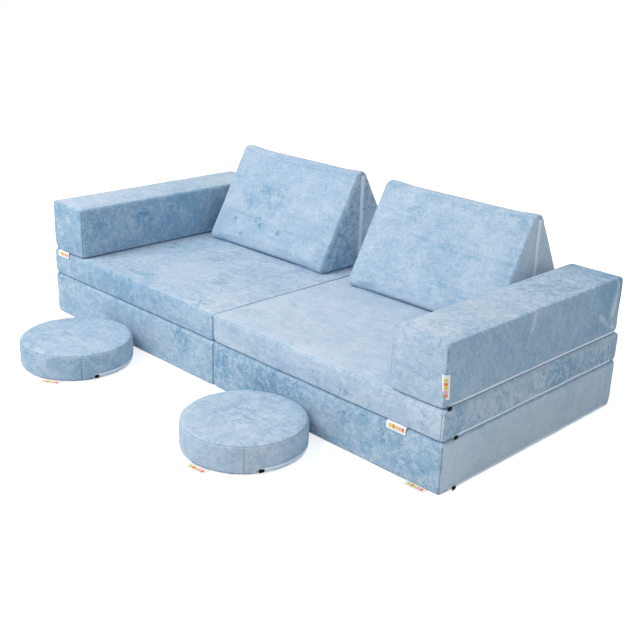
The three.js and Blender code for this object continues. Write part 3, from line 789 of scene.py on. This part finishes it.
def round_cushion(name, seed, nap_and_shade_by_face, rubbed, marks=()):
    low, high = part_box(name + "_cover")
    centre = (low + high) / 2
    radius = (high.x - low.x) / 2 - round_swell
    height = high.z - low.z - round_swell
    place = (centre.x, centre.y, height / 2)
    made = add_shape(
        name + "_velour_cover", bpy.ops.mesh.primitive_cylinder_add, vertices=144, radius=radius,
        depth=height, location=place,
    )

    def radius_of(middle, axis):
        if axis == 2:
            return 0
        return round_foot if middle.z < height / 2 else 0.8 * round_foot

    round_edges(made, radius_of, clamped=True)
    weave(made, 5.5 * mm)
    seam_turn = math.radians(round_places[name])

    def seams(co):
        """Signed distances (m) to the nearer rim seam, to the bottom one and to the upright one, and how far
        the last shows. Near the top edge the top rim's seam stands in for the upright one."""
        away, turn = polar(co, centre, seam_turn)
        inset = radius - away
        top, foot = height - co[:, 2] - inset, co[:, 2] - inset
        near = np.where(co[:, 2] > height / 2, top, foot)
        at_top = co[:, 2] > height - 7 * mm
        upright = smooth_step(co[:, 2], 5 * mm, 9 * mm) * (inset < 12 * mm)
        side = np.where(at_top, top, turn * radius)
        return near, np.where(at_top, 1.0, near), side, np.where(at_top, 0.95, 0.9 * upright)

    held = np.exp(-((seams(points_of(made))[0] / (6 * mm)) ** 2))
    swell_cover(made, 2.5, 0.004, 2.5 * mm, held)
    finish(made, "SUBSURF", levels=1, render_levels=1)
    wander(made, 0.6 * mm, (60 * mm, 60 * mm, 60 * mm), seed)
    foot, side, shows = seams(points_of(made))[1:]
    sew(made, foot, side, shows, seam_depth, seed)
    co = points_of(made)
    away, turn = polar(co, centre, seam_turn)
    along = turn % (2 * math.pi)
    zip_end, fade = round_zip_turn + round_zip_sweep, 0.06
    bed = smooth_step(along, round_zip_turn - fade, round_zip_turn)
    bed = bed * (1 - smooth_step(along, zip_end, zip_end + fade))
    bed = bed * (1 - smooth_step(co[:, 2], 17 * mm, 21 * mm)) * round_zip_bed
    bed = bed * smooth_step(away, radius - 22 * mm, radius - 8 * mm) / np.maximum(away, 1 * mm)
    co[:, 0] -= (co[:, 0] - centre.x) * bed
    co[:, 1] -= (co[:, 1] - centre.y) * bed
    set_points(made, co)
    lie_flat(made, 2, -1, 0.0)
    brush(made, nap_and_shade_by_face, rubbed, marks, seed)
    dress(made, name, name + "_cover", velour)


round_cushion(
    "round_left", 12, {"+z": -0.01, "-y": -0.09, "+x": -0.08}, {"+z": 0.3, "-y": 0.2, "+x": 0.25},
    marks=[(-400, -405, 73, 50, 0.14, -0.02)],
)
round_cushion(
    "round_right", 13, {"+z": 0.02}, {"+z": 0.32, "-y": 0.15, "+x": 0.25},
    marks=[(298, -366, 73, 60, 0.1, -0.02)],
)

# The cores: blocks of polyurethane foam, cut a little smaller than their covers so that they slip in.
# Open-cell foam is cream coloured and matt, with a fine porous skin where the saw went through it.
core_inset = 7 * mm
core_round = 16 * mm
round_core_rim = 10 * mm
cell_size = 1.92308 * mm


def make_foam():
    material, tree, shader = start_material(
        "open-cell polyurethane foam", Roughness=0.95, Specular_IOR_Level=0.2,
    )
    place = add(tree, "TexCoord").outputs["Object"]
    cells = add(tree, "TexVoronoi", Vector=place, Scale=1 / cell_size).outputs["Distance"]
    cloud = add(tree, "TexNoise", Vector=place, Scale=1 / cloud_size, Detail=3.0)
    tint = add(tree, "Mix", data_type="RGBA", in0=cloud, in6=linear("#ebe0c4"), in7=linear("#f3ead6"))
    pores = add(tree, "MapRange", in0=cells, in1=0.0, in2=0.5, in3=0.25, in4=0.0)
    shade = {"data_type": "RGBA", "blend_type": "MULTIPLY"}
    shade = add(tree, "Mix", **shade, in0=pores, in6=tint.outputs[2], in7=linear("#b8a888"))
    tree.links.new(shade.outputs[2], shader.inputs["Base Color"])
    rough = add(tree, "Bump", Height=cells, Strength=0.5, Distance=0.5 * mm)
    tree.links.new(rough.outputs[0], shader.inputs["Normal"])
    return material


foam = make_foam()


def dress_core(made, body):
    dress(made, body, body + "_foam", foam, 35)


inward = Vector((core_inset, core_inset, core_inset))
for body in ("base_left", "base_right", "seat_left", "seat_right", "arm_left", "arm_right"):
    low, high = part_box(body + "_foam")
    core = add_block(body + "_foam_block", low + inward, high - inward)
    round_edges(core, lambda middle, axis: core_round)
    dress_core(core, body)
for body in ("back_left", "back_right"):
    low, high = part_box(body + "_foam")
    low, high = low + 2 * inward, high - 1.6 * inward
    rounds = ridge_round - core_inset, foot_round - core_inset
    core = wedge_form(body + "_foam_block", low, high, *rounds, 8 * mm)
    dress_core(core, body)
for body in ("round_left", "round_right"):
    low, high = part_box(body + "_foam")
    radius, depth = (high.x - low.x) / 2 - core_inset, high.z - low.z - 2 * core_inset
    core = add_shape(
        body + "_foam_block", bpy.ops.mesh.primitive_cylinder_add, vertices=96, radius=radius, depth=depth,
        location=(low + high) / 2,
    )
    finish(core, "BEVEL", width=round_core_rim, segments=3, limit_method="ANGLE")
    dress_core(core, body)

# The zips: nylon coil zips, paler than the velour, whose woven tapes are sewn under the cover's edges. Their
# colour is partly the dye and partly a painted highlight: it is set paler than the dye, as bright as the coil
# looks where it bulges into the light.
# A coil's turns are 1.2 mm apart; they are drawn twice as far apart so that they show.
turn_step = 2.4 * mm
tape_thick = 1.2 * mm
coil_radius = 0.75 * mm
coil_width = 4.4 * mm
coil_sunk = 0.35 * mm
coil_height = 1.7 * mm
tape_lift = 1.3 * mm
round_zip_rise = 9.6 * mm


def make_nylon(name, light, dark, thread):
    material, tree, shader = start_material(name, Roughness=0.5, IOR=1.53, Sheen_Weight=0.1)
    place = add(tree, "TexCoord").outputs["Object"]
    threads = add(tree, "TexNoise", Vector=place, Scale=1 / thread, Detail=2.0)
    tint = add(tree, "Mix", data_type="RGBA", in0=threads, in6=linear(dark), in7=linear(light))
    tree.links.new(tint.outputs[2], shader.inputs["Base Color"])
    bump = add(tree, "Bump", Height=threads, Strength=0.4, Distance=0.3 * mm)
    tree.links.new(bump.outputs[0], shader.inputs["Normal"])
    return material


zip_nylon = make_nylon("nylon zip coil, dye and painted highlight", "#e8f4fe", "#d6e8f8", 1.42857 * mm)


def closed_zip(name, length, tape_half):
    """A closed zip along X at the origin, facing +Z, its tapes' face at z = 0. tape_half is half of the width
    that the cover's lips leave to be seen."""
    tape_size = (length, 2 * tape_half, tape_thick)
    tape_middle = (0, 0, -tape_thick / 2)
    tape = add_shape(name, bpy.ops.mesh.primitive_cube_add, tape_size, size=1, location=tape_middle)
    for across in (-2.6, -2.1, 0, 2.1, 2.6):
        edit(tape, bpy.ops.mesh.bisect, plane_co=(0, across * mm, 0), plane_no=(0, 1, 0))
    cut_loops(tape, 0, max(10 * mm, length / 99))
    co = points_of(tape)
    under = (np.abs(co[:, 1]) < 2.2 * mm) & (co[:, 2] > -0.3 * mm)
    co[under, 2] -= 0.5 * mm
    set_points(tape, co)
    first_turn = ((turn_step - length) / 2, 0, -coil_sunk)
    coil = add_shape(
        "coil", bpy.ops.mesh.primitive_cylinder_add, vertices=6, radius=coil_radius, depth=coil_width,
        rotation=(math.pi / 2, 0, 0), location=first_turn,
    )
    edit(coil, bpy.ops.mesh.bevel, offset=0.3 * mm, segments=1)
    finish(
        coil, "ARRAY", use_relative_offset=False, use_constant_offset=True,
        constant_offset_displace=(turn_step, 0, 0), count=int(length / turn_step),
    )
    pick(tape, coil)
    bpy.ops.object.join()
    return tape


def set_in_place(made, run, out, place):
    """Moves a piece made at the origin: its X goes along run, its Z along out."""
    x, z = Vector(run), Vector(out)
    turn = Matrix((x, z.cross(x), z)).transposed().to_4x4()
    made.data.transform(Matrix.Translation(place) @ turn)
    made.data.update()


def skin_under(cover, run, out, place):
    """The points of a cover that face the way that out does, in a trim's own frame."""
    axes = np.array([run, np.cross(out, run), out], float)
    faces = points_of(cover, "normal") @ np.array(out, float) > 0.3
    return (points_of(cover)[faces] - np.array(place)) @ axes.T


def height_on(skin, x, y):
    """The cover's height at a spot: the mean of the points around it, the nearest ones counting most."""
    reach = np.array([9 * mm, 9 * mm, 14 * mm])
    near = skin[(np.abs(skin - np.array([x, y, 0])) < reach).all(axis=1)]
    weight = np.exp(-((near[:, 0] - x) ** 2 + (near[:, 1] - y) ** 2) / (3.5 * mm) ** 2)
    return (weight @ near[:, 2]) / weight.sum()


def lay_on(made, skin, lift):
    """Lets a flat trim, still at the origin, follow the cover under it."""
    co = points_of(made)
    reach_x, reach_y = np.abs(co[:, :2]).max(axis=0)
    xs, ys = np.linspace(-reach_x, reach_x, int(reach_x / (2.5 * mm))), np.linspace(-reach_y, reach_y, 3)
    rows = [[height_on(skin, x, y) for x in xs] for y in ys]
    rows = [np.interp(co[:, 0], xs, row) for row in rows]
    share = (co[:, 1] + reach_y) / reach_y
    lower = rows[0] + (rows[1] - rows[0]) * share
    upper = rows[1] + (rows[2] - rows[1]) * (share - 1)
    co[:, 2] += np.where(share < 1, lower, upper) + lift
    set_points(made, co)


straight_zips = {
    f"{piece}_{side}": ((0, 1, 0), (out, 0, 0))
    for piece in ("base", "seat", "arm")
    for side, out in (("right", 1), ("left", -1))
}
straight_zips |= {name: ((0, 0, 1), (1, 0, 0)) for name in ("back_left", "back_right")}
skins, crests = {}, {}
for body, (run, out) in straight_zips.items():
    low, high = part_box(body + "_zip")
    face = high.x if out[0] > 0 else low.x
    middle = (low + high) / 2
    axis = run.index(1)
    if axis == 1:
        middle.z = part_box(body + "_cover")[0].z + zip_rise
    else:
        high.z += zip_over
        middle.z += zip_over / 2
    place = (face, middle.y, middle.z)
    cover = bpy.data.objects[body + "_velour_cover"]
    skins[body] = (place, skin_under(cover, run, out, place))
    made = closed_zip(body + "_zip_coil", high[axis] - low[axis], narrow_tape if axis == 1 else wide_tape)
    lay_on(made, skins[body][1], tape_lift)
    crests[body] = points_of(made)[:, (0, 2)]
    set_in_place(made, run, out, place)
    dress(made, body, body + "_zip", zip_nylon, 40)

for body, seam_turn in round_places.items():
    low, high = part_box(body + "_cover")
    centre = (low + high) / 2
    reach = (high.x - low.x) / 2 - round_swell
    cover = bpy.data.objects[body + "_velour_cover"]
    co, no = points_of(cover), points_of(cover, "normal")
    middle = math.radians(seam_turn) + round_zip_turn + round_zip_sweep / 2
    away, turn = polar(co, centre)
    faces = no[:, 0] * np.cos(turn) + no[:, 1] * np.sin(turn) > 0.3
    around = polar(co, centre, middle)[1] * reach
    skin = np.stack([around, co[:, 2] - round_zip_rise, away - reach], 1)[faces]
    skins[body] = (middle, skin)
    made = closed_zip(body + "_zip_coil", reach * round_zip_sweep, wide_tape)
    lay_on(made, skin, 1.2 * mm)
    co = points_of(made)
    angle, away = middle + co[:, 0] / reach, reach + co[:, 2]
    spots = [centre.x + away * np.cos(angle), centre.y + away * np.sin(angle), round_zip_rise + co[:, 1]]
    set_points(made, np.stack(spots, 1))
    dress(made, body, body + "_zip", zip_nylon, 40)

# The zip sliders: black painted zinc, with a low bridge and no pull, so that small hands can't open them.
# Each stands on the highest turns of the coil near it, and runs straight along the zip from there.
slider_size = (13 * mm, 9 * mm, 1.8 * mm)
bridge_size = (6 * mm, 3 * mm, 1.6 * mm)
slider_gap = 0.1 * mm
spray_size = 1.11111 * mm


def make_slider_paint():
    material, tree, shader = start_material("black painted zinc", Specular_IOR_Level=0.12)
    place = add(tree, "TexCoord").outputs["Object"]
    spray = add(tree, "TexNoise", Vector=place, Scale=1 / spray_size, Detail=2.0)
    rough = add(tree, "MapRange", in0=spray, in1=0.3, in2=0.7, in3=0.5, in4=0.65)
    tree.links.new(rough.outputs[0], shader.inputs["Roughness"])
    tint = add(tree, "Mix", data_type="RGBA", in0=spray, in6=linear("#060708"), in7=linear("#101214"))
    tree.links.new(tint.outputs[2], shader.inputs["Base Color"])
    return material


black_zinc = make_slider_paint()
plate_top = slider_size[2]
plate_middle = (0, 0, plate_top / 2)
plate = add_shape("plate", bpy.ops.mesh.primitive_cube_add, slider_size, size=1, location=plate_middle)
for along in (-4.9, 0):
    edit(plate, bpy.ops.mesh.bisect, plane_co=(along * mm, 0, 0), plane_no=(1, 0, 0))
co = points_of(plate)
co[co[:, 0] > 6 * mm, 1] *= 0.67
co[co[:, 0] < -6 * mm, 1] *= 0.67
set_points(plate, co)
bridge_middle = (0, 0, plate_top + bridge_size[2] / 2)
bridge = add_shape("bridge", bpy.ops.mesh.primitive_cube_add, bridge_size, size=1, location=bridge_middle)
pick(plate, bridge)
bpy.ops.object.join()
finish(plate, "BEVEL", width=0.5 * mm, segments=2)
slider_mesh = plate.data
bpy.data.objects.remove(plate)


def place_slider(body, run, out, place):
    made = bpy.data.objects.new(body + "_slider_cast", slider_mesh.copy())
    bpy.context.scene.collection.objects.link(made)
    set_in_place(made, run, out, place)
    dress(made, body + "_slider", body + "_zip_slider", black_zinc, 50)


slider_shift = {
    "arm_right": (-6 * mm, -5.5 * mm), "seat_right": (2 * mm, -3 * mm), "base_right": (9 * mm, -2 * mm),
}
for body, (run, out) in straight_zips.items():
    low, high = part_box(body + "_zip_slider")
    x, y, z = skins[body][0]
    along, up = slider_shift.get(body, (0, 0))
    middle = (low + high) / 2
    spot = (middle.z - z + along, 0) if run[2] else (middle.y - y + along, up)
    crest = crests[body]
    under_slider = np.abs(crest[:, 0] - spot[0]) < slider_size[0]
    height = min(crest[:, 1].max(), crest[under_slider, 1].max() + 1.6 * mm) + slider_gap
    axes = np.array([run, np.cross(out, run), out], float)
    place_slider(body, run, out, np.array([x, y, z]) + np.array([*spot, height]) @ axes)
for body, seam_turn in round_places.items():
    low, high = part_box(body + "_cover")
    centre = (low + high) / 2
    reach = (high.x - low.x) / 2 - round_swell
    turn = math.radians(seam_turn) + round_zip_turn + (slider_size[0] / 2 + 0.7 * mm) / reach
    middle, skin = skins[body]
    reach += height_on(skin, (turn - middle) * reach, 0) + coil_height
    out = (math.cos(turn), math.sin(turn), 0)
    run = (-math.sin(turn), math.cos(turn), 0)
    place_slider(body, run, out, (centre.x + reach * out[0], centre.y + reach * out[1], round_zip_rise))

# The labels: white woven ribbon, folded in two across its width, its raw edges sewn into a seam. Five small
# coloured dots are printed on the outer layer.
ribbon_thick = 0.3 * mm
ribbon_half_gap = 0.25 * mm
weft_size = 0.588235 * mm
warp_size = 2 * mm
label_long = 56 * mm
dots = ((-16, "#d9cf3f"), (-6.8, "#f08420"), (2, "#d3d043"), (10.6, "#f0a6bc"), (19.6, "#f0801c"))
dots_rise = 10 * mm
dot_radius = 4.1 * mm
dot_squeeze = 0.85


def make_label_ribbon():
    material, tree, shader = start_material("woven polyester ribbon", Roughness=0.75, Specular_IOR_Level=0.3)
    at = add(tree, "Attribute", attribute_name="ribbon").outputs["Vector"]
    threads = add(tree, "Mapping", Vector=at, Scale=(1 / weft_size, 1 / warp_size, 0.0))
    weft = add(tree, "TexNoise", Vector=threads, Scale=1.0, Detail=1.0)
    white = {"in6": linear("#e4e6ec"), "in7": linear("#fbfbfd")}
    colour = add(tree, "Mix", data_type="RGBA", in0=weft, **white).outputs[2]
    squeezed = add(tree, "VectorMath", operation="MULTIPLY", in0=at, in1=(1, dot_squeeze, 0))
    for along, tint in dots:
        centre = (along * mm, dots_rise * dot_squeeze, 0)
        far = add(tree, "VectorMath", operation="DISTANCE", in0=squeezed, in1=centre).outputs["Value"]
        ink = add(tree, "MapRange", in0=far, in1=dot_radius, in2=dot_radius + 0.5 * mm, in3=0.95, in4=0.0)
        colour = add(tree, "Mix", data_type="RGBA", in0=ink, in6=colour, in7=linear(tint)).outputs[2]
    tree.links.new(colour, shader.inputs["Base Color"])
    bump = add(tree, "Bump", Height=weft, Strength=0.3, Distance=0.1 * mm)
    tree.links.new(bump.outputs[0], shader.inputs["Normal"])
    return material


label_ribbon = make_label_ribbon()


def label(cushion, route, place, side):
    """A folded ribbon. route runs from the seam to the fold, in two coordinates of metres. place turns the
    distance along the label and those two into a point. side says which way the outer layer faces."""
    route = np.array(route, float) * mm
    last, fold_steps, curled_length = 12, 6, 21 * mm
    steps = np.linspace(0, len(route) - 1, last + 1)
    centre = np.stack([np.interp(steps, np.arange(len(route)), route[:, k]) for k in (0, 1)], 1)
    centre[1:-1] = (centre[:-2] + 2 * centre[1:-1] + centre[2:]) / 4
    heading = np.gradient(centre, axis=0)
    heading /= np.linalg.norm(heading, axis=1, keepdims=True)
    across = np.stack([-heading[:, 1], heading[:, 0]], 1) * side
    turn = np.linspace(0, math.pi, fold_steps + 1)[1:-1, None]
    bent = centre[-1] + ribbon_half_gap * (np.cos(turn) * across[-1] + np.sin(turn) * heading[-1])
    apart = ribbon_half_gap * across
    line = np.concatenate([centre + apart, bent, (centre - apart)[::-1]])
    run = np.concatenate([[0], np.cumsum(np.linalg.norm(np.diff(line, axis=0), axis=1))])
    rows = len(line) - 1
    made = add_shape(
        cushion + "_folded_label", bpy.ops.mesh.primitive_grid_add, size=2, x_subdivisions=14,
        y_subdivisions=rows,
    )
    co = points_of(made)
    row = np.rint((co[:, 1] + 1) / 2 * rows).astype(int)
    along = co[:, 0] * label_long / 2
    from_fold = run[last] + math.pi / 2 * ribbon_half_gap - run[row]
    curl = 0.5 * mm * (along / (label_long / 2)) ** 2 * np.clip(1 - np.abs(from_fold) / curled_length, 0, 1)
    curl *= np.where(row > last, 0.9, 1)
    spots = line[row] + across[np.minimum(row, last)] * curl[:, None]
    set_points(made, np.array([place(a, u, v) for a, (u, v) in zip(along, spots)]))
    keep(made, "ribbon", np.stack([along, from_fold, 0 * along], 1))
    finish(made, "SOLIDIFY", thickness=ribbon_thick, offset=0)
    edit(made, bpy.ops.mesh.normals_make_consistent, inside=False)
    dress(made, cushion, cushion + "_label", label_ribbon, 60)


hanging = ((4.55, 3.05), (-1.2, 0.4), (-3.6, -1.4), (-4.5, -8.5), (-4.7, -17))
on_floor = ((4.55, 2.9), (-1.5, 2.4), (-6, 1.5), (-12, 0.95), (-18, 0.75))
low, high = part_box("seat_right_label")
label("seat_right", hanging, lambda a, u, v: ((low.x + high.x) / 2 + a, -0.215 + u, seat_low.z + v), -1)
low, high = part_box("base_right_label")
label("base_right", on_floor, lambda a, u, v: ((low.x + high.x) / 2 + a, -0.215 + u, v), -1)
low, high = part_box("arm_left_label")
arm_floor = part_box("arm_left_cover")[0].z
label("arm_left", hanging, lambda a, u, v: ((low.x + high.x) / 2 + a, -0.215 + u, arm_floor + v), -1)
low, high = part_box("arm_right_label")
round_corner = ((-11, -0.3), (-7.5, -3.2), (-3, -2.7), (0.8, 0.2), (3, 4.5), (3.6, 8))
middle_z, leaning = (low.z + high.z) / 2, 0.07
label("arm_right", round_corner, lambda a, u, v: (0.75 + u, -0.215 + v + leaning * a, middle_z - a), -1)
label_turns = {"round_left": -59, "round_right": -83}
for cushion, degrees in label_turns.items():
    low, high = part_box(cushion + "_cover")
    centre, reach = (low + high) / 2, (high.x - low.x) / 2 - round_swell
    turned = Matrix.Rotation(math.radians(degrees + 90), 3, "Z")
    foot = Vector((centre.x, centre.y, 0))
    label(cushion, on_floor, lambda a, u, v: turned @ Vector((a, u - reach, v)) + foot, -1)

# The fabric hinges: a narrow bias binding of woven polyester, sewn along the fold between the two halves of
# each mattress. They keep their CAD form, and only get their cloth here.
binding_cloth = make_nylon("bias binding", "#6f90ae", "#5f809d", 2 * mm)
for node in ("base_hinge", "seat_hinge"):
    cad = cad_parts[node]
    cad.data.materials.clear()
    cad.data.materials.append(binding_cloth)

# The studio, which isn't part of the sofa: a plain pale floor of matt paper, a broad soft lamp from the front
# left above, a weak one from the right, and pale light all round.
floor = add_shape("studio_floor", bpy.ops.mesh.primitive_plane_add, size=12, location=(0, 0, 0))
glow_share = 0.62


def seen_directly(tree):
    """1 where the camera, a gloss or a clear body looks at the background, 0 where it only gives light."""
    rays = add(tree, "LightPath").outputs
    seen = add(tree, "Math", operation="MAXIMUM", in0=rays["Is Camera Ray"], in1=rays["Is Glossy Ray"])
    return add(tree, "Math", operation="MAXIMUM", in0=seen, in1=rays["Is Transmission Ray"])


paper, tree, shader = start_material(
    "matt white paper", Base_Color=linear("#e8e8e8"), Roughness=0.9, Specular_IOR_Level=0.1
)
lift = add(tree, "Math", operation="MULTIPLY", in0=seen_directly(tree), in1=glow_share)
glow = add(tree, "Emission", Color=(1, 1, 1, 1), Strength=lift)
both = add(tree, "AddShader", in0=shader, in1=glow)
tree.links.new(both.outputs[0], tree.nodes["Material Output"].inputs["Surface"])
floor.data.materials.append(paper)

world = bpy.data.worlds.new("Studio")
bpy.context.scene.world = world
world.use_nodes = True
tree = world.node_tree
strength = add(tree, "MapRange", in0=seen_directly(tree), in1=0.0, in2=1.0, in3=glow_share, in4=1.0)
sky = tree.nodes["Background"]
sky.inputs["Color"].default_value = (1, 1, 1, 1)
tree.links.new(strength.outputs[0], sky.inputs["Strength"])


def lamp(name, place, aim, size, power):
    data = bpy.data.lights.new(name, "AREA")
    data.shape = "DISK"
    data.size = size
    data.energy = power
    made = bpy.data.objects.new(name, data)
    made.location = place
    made.rotation_euler = (Vector(aim) - Vector(place)).to_track_quat("-Z", "Y").to_euler()
    bpy.context.scene.collection.objects.link(made)


lamp("key", (-1.3, -2.3, 3.2), (0, 0, 0.15), 2.2, 97)
lamp("front fill", (1.9, -1.4, 1.2), (0.6, -0.1, 0.1), 1.2, 1.5)

# The viewpoint: a short telephoto from the front right, a little above. Its angles and lens were fitted to
# the corners of the cushions.
view_turn = math.radians(44.42)
view_drop = math.radians(20.62)
view_roll = math.radians(2.01)
camera_data = bpy.data.cameras.new("viewpoint")
camera_data.lens = 57.29
camera_data.sensor_width = 36
camera = bpy.data.objects.new("viewpoint", camera_data)
camera.location = (1.8998, -1.7648, 1.1114)
look = Matrix.Rotation(view_turn, 4, "Z") @ Matrix.Rotation(math.pi / 2 - view_drop, 4, "X")
camera.rotation_euler = (look @ Matrix.Rotation(view_roll, 4, "Z")).to_euler()
bpy.context.scene.collection.objects.link(camera)
bpy.context.scene.camera = camera
bpy.context.scene.view_settings.view_transform = "Standard"
